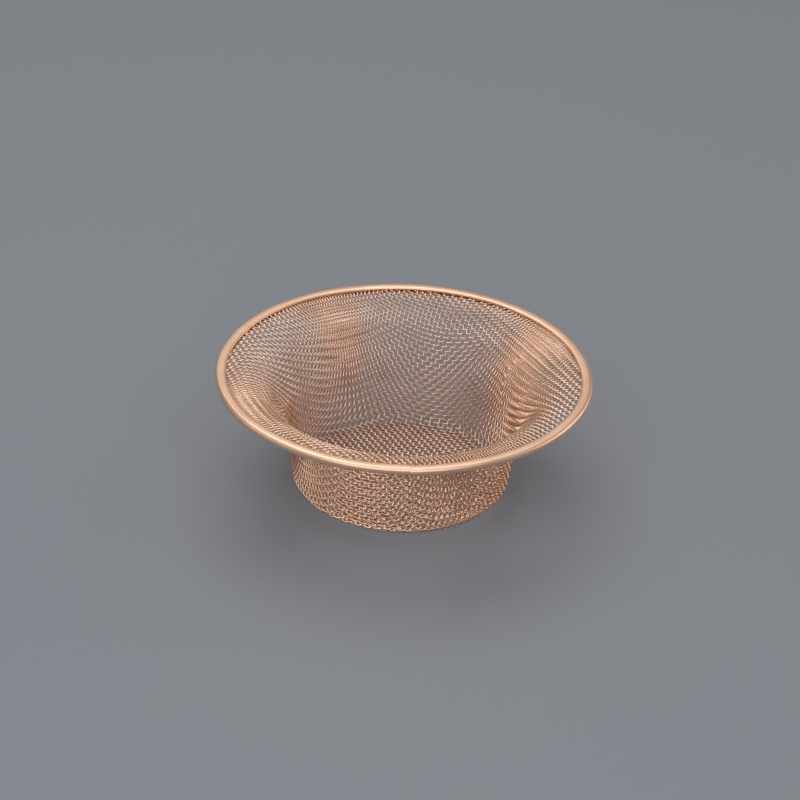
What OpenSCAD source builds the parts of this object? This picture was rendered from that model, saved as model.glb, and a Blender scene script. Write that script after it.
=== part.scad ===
// Round basket strainer of woven copper wire cloth.
// One disc of plain-weave cloth is drawn into a flat floor, a short steep wall
// and a trumpet flare. A folded copper strip grips the cut edge all round.
// Frame: the origin is the centre of the floor's underside, +Z is up, and the
// butt seam of the rim strip is at -Y. Millimetres.

/* [Rim] */
// Outer diameter over the rolled rim
rim_d = 115; // [105:1:125]
// Radial width of the strip that grips the cloth
hem_w = 2.3; // [1.8:0.1:4.0]
// Sheet thickness of the strip
strip_t = 0.5; // [0.3:0.05:0.6]
// Diameter of the rolled bead at the strip's outer fold
bead_d = 2.1; // [1.9:0.05:2.4]
// Gap between the strip's two ends, at the butt seam
seam_gap = 0.25; // [0.1:0.05:0.6]

/* [Basket] */
// Overall height, floor underside to the top of the rim
height = 38.5; // [34:0.5:44]
// Outer diameter of the wall where it meets the floor's corner
basket_d = 68.0; // [60:0.2:72]
// Slope of the wall from horizontal, in degrees
wall_slope = 83; // [78:1:86]
// Radius between the floor and the wall, in the middle of the cloth
corner_r = 3.1; // [2.0:0.1:5.0]

/* [Flare] */
// Radius of the lower, gentle part of the flare
throat_r = 30; // [24:1:32]
// Slope where the gentle part meets the tight part, in degrees
knee_slope = 55; // [50:1:60]
// Radius of the upper, tight part of the flare
shoulder_r = 14.7; // [12:0.1:16]
// Slope of the flat lip under the rim, in degrees
lip_slope = 6; // [3:1:9]

/* [Cloth] */
// Diameter of one wire
wire_d = 0.40; // [0.30:0.02:0.45]

/* [Hidden] */
$fn = 180;

// Two wires cross everywhere, so the cloth is two wires thick
cloth_t = 2 * wire_d;
// Slit left between the two layers of cloth, so that they never overlap
layer_gap = 0.02;
// How far the cloth's cut edge reaches past the centre of the bead
edge_reach = 0.2;
// Degrees of turn between two stations along an arc of the section
arc_step = 4;
// Spare length that makes a cut run clear of what it cuts
over = 1;

// Middle of the cloth's section, as stations [radius, height, slope]
bead_r = rim_d / 2 - bead_d / 2;
bead_z = height - bead_d / 2;
edge_r = bead_r + edge_reach * cos(lip_slope);
edge_z = bead_z + edge_reach * sin(lip_slope);

wall_foot_r = basket_d / 2 - cloth_t / 2 * sin(wall_slope);
floor_flat_r = wall_foot_r - corner_r * sin(wall_slope);

// Rise and run of an arc that turns from slope a to the flatter slope b
function arc_run(r, a, b) = r * (sin(a) - sin(b));
function arc_rise(r, a, b) = r * (cos(b) - cos(a));

flare_run = arc_run(throat_r, wall_slope, knee_slope)
    + arc_run(shoulder_r, knee_slope, lip_slope);
flare_rise = arc_rise(throat_r, wall_slope, knee_slope)
    + arc_rise(shoulder_r, knee_slope, lip_slope);

// The straight wall and the straight lip close what the arcs leave open
open_run = edge_r - wall_foot_r - flare_run;
open_rise = edge_z - cloth_t / 2 - corner_r * (1 - cos(wall_slope)) - flare_rise;
between = sin(wall_slope - lip_slope);
wall_len = (open_rise * cos(lip_slope) - open_run * sin(lip_slope)) / between;
lip_len = (open_run * sin(wall_slope) - open_rise * cos(wall_slope)) / between;

// Stations along an arc from station p to slope b: it turns up when b is steeper
function turn(p, r, b) =
    let (a = p[2], n = ceil(abs(b - a) / arc_step), up = b > a ? 1 : -1)
    [for (i = [1 : n]) let (s = a + (b - a) * i / n)
        [p[0] + up * r * (sin(s) - sin(a)), p[1] + up * r * (cos(a) - cos(s)), s]];
function straight(p, len) = [p[0] + len * cos(p[2]), p[1] + len * sin(p[2]), p[2]];
function last(list) = list[len(list) - 1];

floor_end = [floor_flat_r, cloth_t / 2, 0];
corner = turn(floor_end, corner_r, wall_slope);
wall_top = straight(last(corner), wall_len);
throat = turn(wall_top, throat_r, knee_slope);
shoulder = turn(last(throat), shoulder_r, lip_slope);
cut_edge = straight(last(shoulder), lip_len);
section = concat([[0, cloth_t / 2, 0], floor_end], corner, [wall_top], throat,
    shoulder, [cut_edge]);

// The section's stations moved by k along the normal, k above 0 towards the inside
function beside(k) = [for (p = section) [p[0] - k * sin(p[2]), p[1] + k * cos(p[2])]];
function reversed(list) = [for (i = [len(list) - 1 : -1 : 0]) list[i]];

// A layer of the cloth between two distances from its middle
module cloth_layer(low, high) {
    rotate_extrude()
        polygon(concat(beside(low), reversed(beside(high))));
}

// Section of the folded strip, in its own frame: the bead at the origin and the
// hem towards -X
module strip_section() {
    difference() {
        union() {
            translate([-hem_w, -cloth_t / 2 - strip_t])
                square([hem_w, cloth_t + 2 * strip_t]);
            circle(d = bead_d);
        }
        translate([-hem_w - over, -cloth_t / 2])
            square([hem_w + over + edge_reach, cloth_t]);
    }
}

// Folded strip round the cut edge, with its butt seam at the front
module rim_band() color([0.86, 0.60, 0.45]) {
    difference() {
        rotate_extrude()
            translate([bead_r, bead_z])
                rotate(lip_slope)
                    strip_section();
        translate([-seam_gap / 2, -rim_d / 2 - over, bead_z - bead_d])
            cube([seam_gap, hem_w + bead_d + over, 2 * bead_d]);
    }
}

// Layer that holds the warp wires: the outside and underside of the cloth
module warp_wires() color([0.72, 0.45, 0.32]) {
    cloth_layer(-cloth_t / 2, -layer_gap / 2);
}

// Layer that holds the weft wires: the inside and top of the cloth
module weft_wires() color([0.80, 0.52, 0.38]) {
    cloth_layer(layer_gap / 2, cloth_t / 2);
}

rim_band();
warp_wires();
weft_wires();
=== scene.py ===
"""The copper basket strainer: every wire of its woven cloth, its folded rim strip and a plain studio."""

import math

import bpy
import numpy as np
from mathutils import Euler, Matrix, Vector


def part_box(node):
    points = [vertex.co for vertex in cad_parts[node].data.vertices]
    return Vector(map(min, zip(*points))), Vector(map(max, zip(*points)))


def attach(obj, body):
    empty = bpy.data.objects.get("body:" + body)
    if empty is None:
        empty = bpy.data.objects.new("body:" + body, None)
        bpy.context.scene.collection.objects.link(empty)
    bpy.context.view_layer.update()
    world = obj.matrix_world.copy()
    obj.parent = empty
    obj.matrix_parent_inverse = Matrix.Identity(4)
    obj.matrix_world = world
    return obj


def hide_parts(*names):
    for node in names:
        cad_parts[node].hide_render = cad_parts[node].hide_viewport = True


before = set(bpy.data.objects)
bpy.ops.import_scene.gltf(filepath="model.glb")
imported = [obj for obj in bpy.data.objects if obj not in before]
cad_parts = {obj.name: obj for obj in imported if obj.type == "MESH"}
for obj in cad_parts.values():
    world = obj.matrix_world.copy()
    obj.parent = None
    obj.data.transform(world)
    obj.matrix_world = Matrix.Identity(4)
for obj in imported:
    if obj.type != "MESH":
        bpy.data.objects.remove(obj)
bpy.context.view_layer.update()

# ---------------------------------------------------------------- sizes, in millimetres
MM = 0.001
RIM_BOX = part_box("rim_band")

RIM_D = round((RIM_BOX[1].x - RIM_BOX[0].x) / MM, 1)  # over the rolled rim
HEIGHT = round(RIM_BOX[1].z / MM, 1)  # floor's underside to the top of the rim
BEAD_D = 2.1  # rolled bead at the strip's outer fold
HEM_W = 2.3  # from the bead's centre to the strip's inner edge
STRIP_T = 0.5  # sheet thickness of the strip
PRESSED_T = 0.9 * STRIP_T  # of the strip once it is folded and pressed

BASKET_D = 68.0  # outside of the wall, just above the floor's corner
WALL_SLOPE = 83.0  # slopes are in degrees from horizontal
CORNER_R = 3.1  # between the floor and the wall
THROAT_R = 30.0  # lower, gentle part of the flare
KNEE_SLOPE = 55.0  # where the gentle part meets the tight part
SHOULDER_R = 14.7  # upper, tight part of the flare
LIP_SLOPE = 6.0
EDGE_REACH = 0.2  # the cloth's cut edge, past the bead's centre
TRIMMED_OFF = 60.0  # how far the section goes on past the cut edge, for the net's outer crossings

WIRE_D = 0.40
CLOTH_T = 2 * WIRE_D  # two wires cross everywhere
PITCH = 1.47  # from one wire to the next, before the disc is drawn
WEAVE_ANGLE = -18.8  # of the warp's rows in the floor, in degrees from +X

CROWN_R = 55.8  # radius of the pressed strip's highest line
STRIP_MID_Z = 37.15  # height of its outermost line
STRIP_LOW_Z = 36.2  # height of its lowest line
STRIP_EDGES_Z = (37.80, 36.5)  # outer corners of its two inner edges, above and under the cloth
STRIP_SQUARENESS = 3.0  # 2 makes the fold's outline elliptic, and more makes its crown flatter
SEAM_SHOWN = 0.05  # the butted ends' gap at the crown
SEAM_DROP = 0.28  # one end hangs lower than the other
SEAM_REACH = 14.0  # degrees over which that end eases back
STRIP_LIFT = ((3, 0.05, 0.6), (7, 0.04, 0.0))  # unevenness in height: waves round the ring, size, phase
STRIP_BOW = ((5, 0.04, 1.9), (11, 0.03, 0.0))  # the same in radius
OUTLINE_STEPS = 48
RING_STEPS = 720


def sin(degrees):
    return math.sin(math.radians(degrees))


def cos(degrees):
    return math.cos(math.radians(degrees))


# ---------------------------------------------------------------- the cloth's section
BEAD_R = RIM_D / 2 - BEAD_D / 2
BEAD_Z = HEIGHT - BEAD_D / 2
EDGE_R = BEAD_R + EDGE_REACH * cos(LIP_SLOPE)
EDGE_Z = BEAD_Z + EDGE_REACH * sin(LIP_SLOPE)
WALL_FOOT_R = BASKET_D / 2 - CLOTH_T / 2 * sin(WALL_SLOPE)


def arc(station, radius, slope):
    """Stations one degree apart along an arc that turns from the station's slope to another."""
    r, z, start = station
    steps = math.ceil(abs(slope - start))
    up = 1 if slope > start else -1
    slopes = [start + (slope - start) * i / steps for i in range(1, steps + 1)]
    return [(r + up * radius * (sin(a) - sin(start)), z + up * radius * (cos(start) - cos(a)), a)
            for a in slopes]


def straight(station, length):
    r, z, slope = station
    return (r + length * cos(slope), z + length * sin(slope), slope)


def section():
    """Middle of the cloth as arrays of path length, radius, height and slope, and the cut edge's length.

    The path goes on past the cut edge along the lip, for the net's crossings that are trimmed off.
    """
    corner_rise = CORNER_R * (1 - cos(WALL_SLOPE))
    run = EDGE_R - WALL_FOOT_R - THROAT_R * (sin(WALL_SLOPE) - sin(KNEE_SLOPE)) \
        - SHOULDER_R * (sin(KNEE_SLOPE) - sin(LIP_SLOPE))
    rise = EDGE_Z - CLOTH_T / 2 - corner_rise - THROAT_R * (cos(KNEE_SLOPE) - cos(WALL_SLOPE)) \
        - SHOULDER_R * (cos(LIP_SLOPE) - cos(KNEE_SLOPE))
    between = sin(WALL_SLOPE - LIP_SLOPE)
    wall = (rise * cos(LIP_SLOPE) - run * sin(LIP_SLOPE)) / between
    lip = (run * sin(WALL_SLOPE) - rise * cos(WALL_SLOPE)) / between

    path = [(0.0, CLOTH_T / 2, 0.0), (WALL_FOOT_R - CORNER_R * sin(WALL_SLOPE), CLOTH_T / 2, 0.0)]
    path += arc(path[-1], CORNER_R, WALL_SLOPE)
    path.append(straight(path[-1], wall))
    path += arc(path[-1], THROAT_R, KNEE_SLOPE)
    path += arc(path[-1], SHOULDER_R, LIP_SLOPE)
    path.append(straight(path[-1], lip))
    path.append(straight(path[-1], TRIMMED_OFF))
    r, z, slope = np.array(path).T
    length = np.concatenate([[0], np.cumsum(np.hypot(np.diff(r), np.diff(z)))])
    return length, r, z, np.radians(slope), length[-2]


LENGTH, RADIUS, RISE, SLOPE, CUT = section()


def on_cloth(x, y):
    """Where the chart point (x, y) lies on the formed cloth's middle.

    A chart point's distance from the origin is the path length from the floor's centre. Returns that
    length, the radius, the point, and the unit vectors up the section, round the axis and out of the
    inner face.
    """
    s = np.hypot(x, y)
    safe = np.maximum(s, 1e-9)
    ex = np.where(s > 1e-6, x / safe, 1.0)
    ey = np.where(s > 1e-6, y / safe, 0.0)
    r = np.interp(s, LENGTH, RADIUS)
    z = np.interp(s, LENGTH, RISE)
    slope = np.interp(s, LENGTH, SLOPE)
    rise, run = np.sin(slope), np.cos(slope)
    point = np.stack([ex * r, ey * r, z], -1)
    up = np.stack([ex * run, ey * run, rise], -1)
    around = np.stack([-ey, ex, 0 * ex], -1)
    normal = np.stack([-ex * rise, -ey * rise, run], -1)
    return s, r, point, up, around, normal


# ---------------------------------------------------------------- the drawn net
SHEAR = 0.02  # stiffness of a mesh's diagonals, against 1 for a wire's own length
BEND = 0.10  # stiffness of a wire against bending between crossings
LOCK = 0.65  # diagonal at which neighbouring wires jam
LOCK_STIFF = 0.5
RELAX_STEPS = 1100
TIME_STEP = 0.3
DRAG = 0.97
BRAKE = 0.3  # share of the speed that is kept when the net runs against its forces
TOP_SPEED = 0.25


def drawn_net():
    """The wires' crossings after the flat disc is drawn to shape, by relaxing a pinned net.

    Wires keep their length, meshes shear, and the meshes on the diagonals of the weave close up
    into dense folds.
    """
    half = int(CUT / PITCH) + 1
    index = np.arange(-half, half + 1)
    i, j = np.meshgrid(index, index, indexing="ij")
    used = (i ** 2 + j ** 2) * PITCH ** 2 <= (CUT + PITCH) ** 2
    x = (i * cos(WEAVE_ANGLE) - j * sin(WEAVE_ANGLE)) * PITCH
    y = (i * sin(WEAVE_ANGLE) + j * cos(WEAVE_ANGLE)) * PITCH
    speed = np.zeros(x.shape + (2,))

    front, back, whole = slice(0, -1), slice(1, None), slice(None)
    first, middle, end = slice(0, -2), slice(1, -1), slice(2, None)
    wires = [((front, whole), (back, whole)), ((whole, front), (whole, back))]
    diagonals = [((front, front), (back, back)), ((back, front), (front, back))]
    bends = [((first, whole), (middle, whole), (end, whole)),
             ((whole, first), (whole, middle), (whole, end))]

    def pull(point, force, pair, rest, stiff, least=0.0, stop=0.0):
        a, b = pair
        gap = point[b] - point[a]
        size = np.sqrt((gap ** 2).sum(-1))
        amount = stiff * (size - rest) + np.where(size < least, stop * (size - least), 0)
        amount = np.where(used[a] & used[b], amount / np.maximum(size, 1e-9), 0)[..., None] * gap
        force[a] += amount
        force[b] -= amount

    for _ in range(RELAX_STEPS):
        s, r, point, up, around, _ = on_cloth(x, y)
        force = np.zeros_like(point)
        for pair in wires:
            pull(point, force, pair, PITCH, 1.0)
        for pair in diagonals:
            pull(point, force, pair, PITCH * math.sqrt(2), SHEAR, LOCK, LOCK_STIFF)
        for a, b, c in bends:
            kept = (used[a] & used[b] & used[c])[..., None]
            bent = kept * BEND * (point[a] - 2 * point[b] + point[c])
            force[a] -= bent
            force[b] += 2 * bent
            force[c] -= bent
        push = np.stack([(force * up).sum(-1), (force * around).sum(-1)], -1)
        if (push * speed).sum() < 0:
            speed *= BRAKE
        speed = speed * DRAG + push * TIME_STEP
        size = np.sqrt((speed ** 2).sum(-1, keepdims=True))
        speed *= np.minimum(1, TOP_SPEED / np.maximum(size, 1e-9))
        out = speed[..., 0] * TIME_STEP
        turn = speed[..., 1] * TIME_STEP * np.where(s > 1e-6, s / np.maximum(r, 1e-6), 1.0)
        safe = np.maximum(s, 1e-9)
        ex = np.where(s > 1e-6, x / safe, 1.0)
        ey = np.where(s > 1e-6, y / safe, 0.0)
        x, y = x + ex * out - ey * turn, y + ey * out + ex * turn
    return x, y, used


# ---------------------------------------------------------------- tubes
def tube_mesh(name, strands, sides, radius):
    """One mesh of closed round tubes. A strand is its centre points and their side normals, in mm."""
    angles = np.arange(sides) * 2 * math.pi / sides
    points, faces, sizes, start = [], [], [], 0
    for centre, normal in strands:
        along = np.gradient(centre, axis=0)
        along /= np.linalg.norm(along, axis=1, keepdims=True)
        normal = normal - (normal * along).sum(1, keepdims=True) * along
        normal /= np.linalg.norm(normal, axis=1, keepdims=True)
        side = np.cross(along, normal)
        ring = centre[:, None] + radius * (np.cos(angles)[None, :, None] * normal[:, None]
                                           + np.sin(angles)[None, :, None] * side[:, None])
        points.append(ring.reshape(-1, 3))
        rings = len(centre)
        row = np.arange(rings - 1)[:, None] * sides
        here = np.arange(sides)[None, :]
        after = (here + 1) % sides
        quads = np.stack([row + here, row + sides + here, row + sides + after, row + after], -1)
        faces.append((quads + start).reshape(-1))
        sizes.append(np.full((rings - 1) * sides, 4))
        cap = np.arange(sides)
        faces.append(np.concatenate([cap, (rings - 1) * sides + cap[::-1]]) + start)
        sizes.append(np.full(2, sides))
        start += rings * sides
    points = np.concatenate(points) * MM
    faces = np.concatenate(faces)
    sizes = np.concatenate(sizes)
    mesh = bpy.data.meshes.new(name)
    mesh.vertices.add(len(points))
    mesh.vertices.foreach_set("co", points.astype(np.float32).ravel())
    mesh.loops.add(len(faces))
    mesh.loops.foreach_set("vertex_index", faces.astype(np.int32))
    mesh.polygons.add(len(sizes))
    mesh.polygons.foreach_set("loop_start", np.concatenate([[0], np.cumsum(sizes)[:-1]]).astype(np.int32))
    mesh.polygons.foreach_set("use_smooth", np.ones(len(sizes), bool))
    mesh.update(calc_edges=True)
    mesh.validate()
    return mesh


def add(name, mesh, material):
    piece = bpy.data.objects.new(name, mesh)
    mesh.materials.append(material)
    bpy.context.scene.collection.objects.link(piece)
    return piece


# ---------------------------------------------------------------- the woven wires
WIRE_SIDES = 6
SAMPLES = 4  # rings from one crossing to the next
BUNDLES = 4  # pieces that each family of wires is split into
WAVER = 0.05  # how far a wire strays sideways in the cloth, in mm
WAVER_CELL = 5  # crossings over which it strays one way
PLEATS = ((45, 1.0), (135, 0.45), (225, 0.5), (315, 0.4))  # angle from the warp's rows, and height
PLEAT_HALF_WIDTH = 1.7
PLEAT_FROM, PLEAT_TO = 39.0, 73.0  # path lengths from the centre between which the pleats rise and die
PLEAT_TAPER = 1.5  # 1 gives a pleat a sine's rise and fall, and more makes its ends slimmer
PLEAT_SWAY = 0.9  # how far a pleat's line sways either way
SWAY_LENGTH = 3.5  # path length over which the sway turns by one radian
SWAY_SHIFT = 1.7  # radians from one pleat's sway to the next one's


def smooth_noise(shape, cell, seed):
    """Noise from -1 to 1 that varies over about `cell` grid steps."""
    rng = np.random.default_rng(seed)
    coarse = rng.uniform(-1, 1, [n // cell + 3 for n in shape])
    for axis, n in enumerate(shape):
        at = np.arange(n) / cell
        low = at.astype(int)
        part = at - low
        part = part * part * (3 - 2 * part)
        coarse = np.moveaxis(coarse, axis, 0)
        part = part.reshape((-1,) + (1,) * (coarse.ndim - 1))
        coarse = coarse[low] * (1 - part) + coarse[low + 1] * part
        coarse = np.moveaxis(coarse, 0, axis)
    return coarse


def resampled(x, y, height):
    """A wire's chart points and its height over the cloth's middle, SAMPLES times as fine.

    The path is a Catmull-Rom curve through the crossings, and the crimp is a cosine between them.
    """
    def ends(v):
        return np.concatenate([[2 * v[0] - v[1]], v, [2 * v[-1] - v[-2]]])

    px, py = ends(x), ends(y)
    t = np.arange(SAMPLES)[None, :] / SAMPLES

    def curve(p):
        a, b, c, d = (p[k:len(p) - 3 + k, None] for k in range(4))
        return (0.5 * (2 * b + (c - a) * t + (2 * a - 5 * b + 4 * c - d) * t ** 2
                       + (3 * b - a - 3 * c + d) * t ** 3)).ravel()

    ease = (1 - np.cos(math.pi * t)) / 2
    crimp = (height[:-1, None] * (1 - ease) + height[1:, None] * ease).ravel()
    return (np.append(curve(px), x[-1]), np.append(curve(py), y[-1]), np.append(crimp, height[-1]))


def pleat_height(x, y, r):
    """How far the cloth stands off its drawn surface, in the low pleats where its meshes have jammed."""
    s = np.hypot(x, y)
    azimuth = np.degrees(np.arctan2(y, x)) - WEAVE_ANGLE
    along = np.clip((s - PLEAT_FROM) / (PLEAT_TO - PLEAT_FROM), 0, 1)
    rise = np.sin(math.pi * along) ** PLEAT_TAPER
    total = np.zeros_like(s)
    for k, (angle, height) in enumerate(PLEATS):
        off = (azimuth - angle + 180) % 360 - 180
        across = np.radians(off) * r + PLEAT_SWAY * np.sin(s / SWAY_LENGTH + SWAY_SHIFT * k)
        total += height * rise * np.exp(-(across / PLEAT_HALF_WIDTH) ** 2)
    return total


def strand(x, y, height):
    fine_x, fine_y, crimp = resampled(x, y, height)
    _, r, point, _, _, normal = on_cloth(fine_x, fine_y)
    off = crimp + pleat_height(fine_x, fine_y, r)
    return point + off[:, None] * normal, normal


def runs(inside):
    """Stretches of two or more crossings in a row that are inside the cut edge."""
    edge = np.flatnonzero(np.diff(np.concatenate([[0], inside.astype(int), [0]])))
    return [(a, b) for a, b in zip(edge[::2], edge[1::2]) if b - a >= 2]


def woven_wires():
    """The strands of both families, each a list with one entry for every wire."""
    x, y, used = drawn_net()
    x = x + WAVER * smooth_noise(x.shape, WAVER_CELL, 1)
    y = y + WAVER * smooth_noise(y.shape, WAVER_CELL, 2)
    inside = used & (np.hypot(x, y) < CUT)
    count = len(x)
    parity = np.where(np.add.outer(np.arange(count), np.arange(count)) % 2, 1.0, -1.0)
    families = []
    for over, turned in ((1, False), (-1, True)):
        gx, gy, gin, gp = (m.T if turned else m for m in (x, y, inside, parity))
        families.append([strand(gx[k, a:b], gy[k, a:b], over * gp[k, a:b] * WIRE_D / 2)
                         for k in range(count) for a, b in runs(gin[k])])
    return families


# ---------------------------------------------------------------- materials
def material(name):
    mat = bpy.data.materials.new(name)
    mat.use_nodes = True
    tree = mat.node_tree
    return mat, tree, tree.nodes["Principled BSDF"]


def node(tree, kind, inputs=(), **settings):
    made = tree.nodes.new(kind)
    for key, value in settings.items():
        setattr(made, key, value)
    for key, value in dict(inputs).items():
        if isinstance(value, bpy.types.NodeSocket):
            tree.links.new(value, made.inputs[key])
        else:
            made.inputs[key].default_value = value
    return made


def ramp(tree, factor, stops):
    made = node(tree, "ShaderNodeValToRGB", {"Fac": factor})
    band = made.color_ramp
    while len(band.elements) < len(stops):
        band.elements.new(0.5)
    for element, (at, colour) in zip(band.elements, stops):
        element.position = at
        element.color = (*colour, 1)
    return made.outputs["Color"]


def noise(tree, scale, detail=2.0, vector=None):
    """Noise over the object's own coordinates. scale is the size of its features, in mm."""
    if vector is None:
        vector = node(tree, "ShaderNodeTexCoord").outputs["Object"]
    inputs = {"Vector": vector, "Scale": 1 / (scale * MM), "Detail": detail}
    return node(tree, "ShaderNodeTexNoise", inputs).outputs["Fac"]


def wire_copper():
    """Drawn copper wire: warm and a little uneven in colour and gloss."""
    mat, tree, shader = material("drawn_copper_wire")
    patches = noise(tree, 9.0, 3.0)
    colour = ramp(tree, patches, [(0.30, (0.805, 0.51, 0.36)), (0.50, (0.89, 0.59, 0.425)),
                                  (0.72, (0.94, 0.655, 0.49))])
    tree.links.new(colour, shader.inputs["Base Color"])
    shader.inputs["Metallic"].default_value = 1.0
    fine = noise(tree, 0.6, 2.0)
    rough = node(tree, "ShaderNodeMapRange", {"Value": fine, "To Min": 0.15, "To Max": 0.30})
    tree.links.new(rough.outputs["Result"], shader.inputs["Roughness"])
    return mat


def strip_copper():
    """Rolled copper strip: brighter than the wire, with fine marks from the folding rollers."""
    mat, tree, shader = material("rolled_copper_strip")
    patches = noise(tree, 14.0, 3.0)
    colour = ramp(tree, patches, [(0.30, (0.88, 0.555, 0.385)), (0.55, (0.94, 0.615, 0.435)),
                                  (0.75, (0.98, 0.67, 0.48))])
    tree.links.new(colour, shader.inputs["Base Color"])
    shader.inputs["Metallic"].default_value = 1.0
    fine = noise(tree, 0.8, 3.0)
    rough = node(tree, "ShaderNodeMapRange", {"Value": fine, "To Min": 0.38, "To Max": 0.50})
    tree.links.new(rough.outputs["Result"], shader.inputs["Roughness"])
    marks = node(tree, "ShaderNodeBump", {"Strength": 0.15, "Distance": 0.05 * MM, "Height": fine})
    tree.links.new(marks.outputs["Normal"], shader.inputs["Normal"])
    return mat


def plain(name, colour, roughness):
    mat, _, shader = material(name)
    shader.inputs["Base Color"].default_value = (*colour, 1)
    shader.inputs["Roughness"].default_value = roughness
    return mat


# ---------------------------------------------------------------- pieces of the object
def make_wires():
    copper = wire_copper()
    for family, strands in zip(("warp", "weft"), woven_wires()):
        cuts = np.linspace(0, len(strands), BUNDLES + 1).astype(int)
        for k in range(BUNDLES):
            name = f"{family}_wires_bundle_{k + 1}"
            mesh = tube_mesh(name, strands[cuts[k]:cuts[k + 1]], WIRE_SIDES, WIRE_D / 2)
            piece = add(name, mesh, copper)
            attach(piece, "root")
            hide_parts(f"{family}_wires")


def strip_outline(inset):
    """One side of the strip's section, from its upper inner edge over the crown to its lower one."""
    inner = CROWN_R - (BEAD_R - HEM_W)
    outer = RIM_D / 2 - CROWN_R - inset
    high, low = HEIGHT - inset, STRIP_LOW_Z + inset
    upper_edge = STRIP_EDGES_Z[0] - inset / 2
    lower_edge = STRIP_EDGES_Z[1] + inset / 2
    power = 2 / STRIP_SQUARENESS
    outline = []
    for k in range(OUTLINE_STEPS + 1):
        angle = 180 - 360 * k / OUTLINE_STEPS
        reach = math.copysign(inner if cos(angle) < 0 else outer, cos(angle))
        if angle >= 0:
            base, tip = (upper_edge if angle > 90 else STRIP_MID_Z), high
        else:
            base, tip = (lower_edge if angle < -90 else STRIP_MID_Z), low
        outline.append((CROWN_R + reach * abs(cos(angle)) ** power,
                        base + (tip - base) * abs(sin(angle)) ** power))
    return outline


def unevenness(phase, waves):
    """Sum of waves round the ring, lowered so that it is never above zero."""
    return sum(size * (np.sin(count * phase + shift) - 1) for count, size, shift in waves)


def make_rim():
    """The strip, folded over the cloth's edge and pressed to a low crown, with its two ends butted."""
    outline = np.array(strip_outline(0.0) + strip_outline(PRESSED_T)[::-1])
    count, turns = len(outline), RING_STEPS + 1
    gap = math.degrees(SEAM_SHOWN / RIM_D)
    azimuth = np.linspace(gap, 360 - gap, turns)
    phase = np.radians(azimuth)
    lift = unevenness(phase, STRIP_LIFT) - SEAM_DROP * np.exp(-azimuth / SEAM_REACH)
    bow = unevenness(phase, STRIP_BOW)
    r = outline[None, :, 0] + bow[:, None]
    z = outline[None, :, 1] + lift[:, None]
    turned = (np.radians(azimuth) - math.pi / 2)[:, None]
    points = np.stack([r * np.cos(turned), r * np.sin(turned), z], -1).reshape(-1, 3) * MM
    faces = []
    for t in range(turns - 1):
        for k in range(count):
            a, b = t * count + k, t * count + (k + 1) % count
            faces.append((a, b, b + count, a + count))
    half = count // 2
    for row in (0, (turns - 1) * count):
        for k in range(half - 1):
            quad = (row + k, row + k + 1, row + count - 2 - k, row + count - 1 - k)
            faces.append(quad[::-1] if row == 0 else quad)
    mesh = bpy.data.meshes.new("rim_strip")
    mesh.from_pydata([tuple(p) for p in points], [], faces)
    mesh.polygons.foreach_set("use_smooth", np.ones(len(faces), bool))
    mesh.update()
    ends = set(range(count)) | set(range((turns - 1) * count, turns * count))
    for edge in mesh.edges:
        if ends.issuperset(edge.vertices):
            edge.use_edge_sharp = True
    rim = add("rim_strip", mesh, strip_copper())
    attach(rim, "root")
    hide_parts("rim_band")


# ---------------------------------------------------------------- studio
CAMERA_AZIMUTH = -2.8
CAMERA_ELEVATION = 30.2
CAMERA_ROLL = 2.3
CAMERA_DISTANCE = 750.0  # from the centre of the rim
SENSOR = 36.0
VIEW_WIDTH = 243.5  # what the picture spans at the rim's centre
RIM_IN_VIEW = (1.27, 9.27)  # the rim's centre, right of the picture's middle and above it

FLOOR_REACH = 6.0  # metres from its middle to each side
FLOOR_COLOUR = (0.235, 0.245, 0.27)
SKY_COLOUR = (0.95, 0.98, 1.0)
WALLS = 0.18  # radiance of the studio at the horizon
CEILING = 0.34  # and straight above

# name, azimuth and elevation in degrees, distance in metres, width and height in metres, radiance, colour
SOFTBOXES = (
    ("key", -165, 63, 1.2, (0.9, 0.8), 2.2, (1.0, 1.0, 1.0)),
    ("front", -6, 40, 1.3, (1.6, 1.2), 1.65, (0.96, 0.98, 1.0)),
    ("right", 104, 16, 1.3, (1.2, 0.45), 2.3, (1.0, 0.94, 0.86)),
    ("left", -88, 14, 1.3, (0.9, 0.4), 1.3, (1.0, 0.94, 0.86)),
)


def make_floor():
    reach = FLOOR_REACH
    mesh = bpy.data.meshes.new("floor")
    corners = [(-reach, -reach, 0), (reach, -reach, 0), (reach, reach, 0), (-reach, reach, 0)]
    mesh.from_pydata(corners, [], [(0, 1, 2, 3)])
    floor = add("floor", mesh, plain("plain_floor", FLOOR_COLOUR, 0.6))


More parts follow.
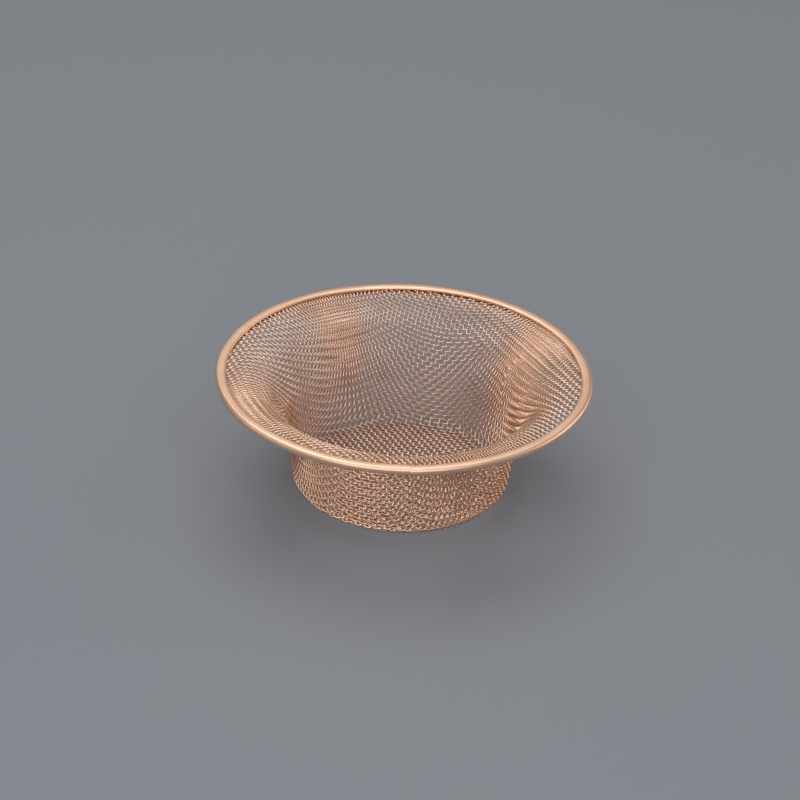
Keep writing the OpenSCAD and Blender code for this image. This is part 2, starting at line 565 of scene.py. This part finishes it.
def make_camera():
    data = bpy.data.cameras.new("camera")
    data.sensor_width = SENSOR
    data.lens = SENSOR * CAMERA_DISTANCE / VIEW_WIDTH
    data.clip_start = 0.01
    data.clip_end = 50.0
    back = Vector((sin(CAMERA_AZIMUTH) * cos(CAMERA_ELEVATION),
                   -cos(CAMERA_AZIMUTH) * cos(CAMERA_ELEVATION), sin(CAMERA_ELEVATION)))
    camera = bpy.data.objects.new("camera", data)
    turn = back.to_track_quat("Z", "Y") @ Euler((0, 0, math.radians(CAMERA_ROLL))).to_quaternion()
    camera.rotation_euler = turn.to_euler()
    from_axis = turn @ Vector((-RIM_IN_VIEW[0], -RIM_IN_VIEW[1], CAMERA_DISTANCE))
    camera.location = (Vector((0, 0, HEIGHT)) + from_axis) * MM
    bpy.context.scene.collection.objects.link(camera)
    bpy.context.scene.camera = camera


def make_softbox(name, azimuth, elevation, distance, size, radiance, colour):
    """A rectangular area light that looks at the object. Azimuth 0 is the camera's side, 90 its right."""
    data = bpy.data.lights.new(name, "AREA")
    data.shape = "RECTANGLE"
    data.size, data.size_y = size
    data.energy = radiance * math.pi * size[0] * size[1]
    data.color = colour
    way = Vector((sin(azimuth) * cos(elevation), -cos(azimuth) * cos(elevation), sin(elevation)))
    light = bpy.data.objects.new(name, data)
    light.location = way * distance
    light.rotation_euler = way.to_track_quat("Z", "Y").to_euler()
    bpy.context.scene.collection.objects.link(light)


def make_lights():
    world = bpy.data.worlds.new("studio")
    world.use_nodes = True
    tree = world.node_tree
    background = tree.nodes["Background"]
    way = node(tree, "ShaderNodeTexCoord").outputs["Generated"]
    height = node(tree, "ShaderNodeSeparateXYZ", {"Vector": way}).outputs["Z"]
    glow = node(tree, "ShaderNodeMapRange", {"Value": height, "To Min": WALLS, "To Max": CEILING})
    tree.links.new(glow.outputs["Result"], background.inputs["Strength"])
    background.inputs["Color"].default_value = (*SKY_COLOUR, 1)
    bpy.context.scene.world = world
    for box in SOFTBOXES:
        make_softbox(*box)


def main():
    make_camera()
    make_wires()
    make_rim()
    make_floor()
    make_lights()
    bpy.context.scene.view_settings.view_transform = "Standard"


main()
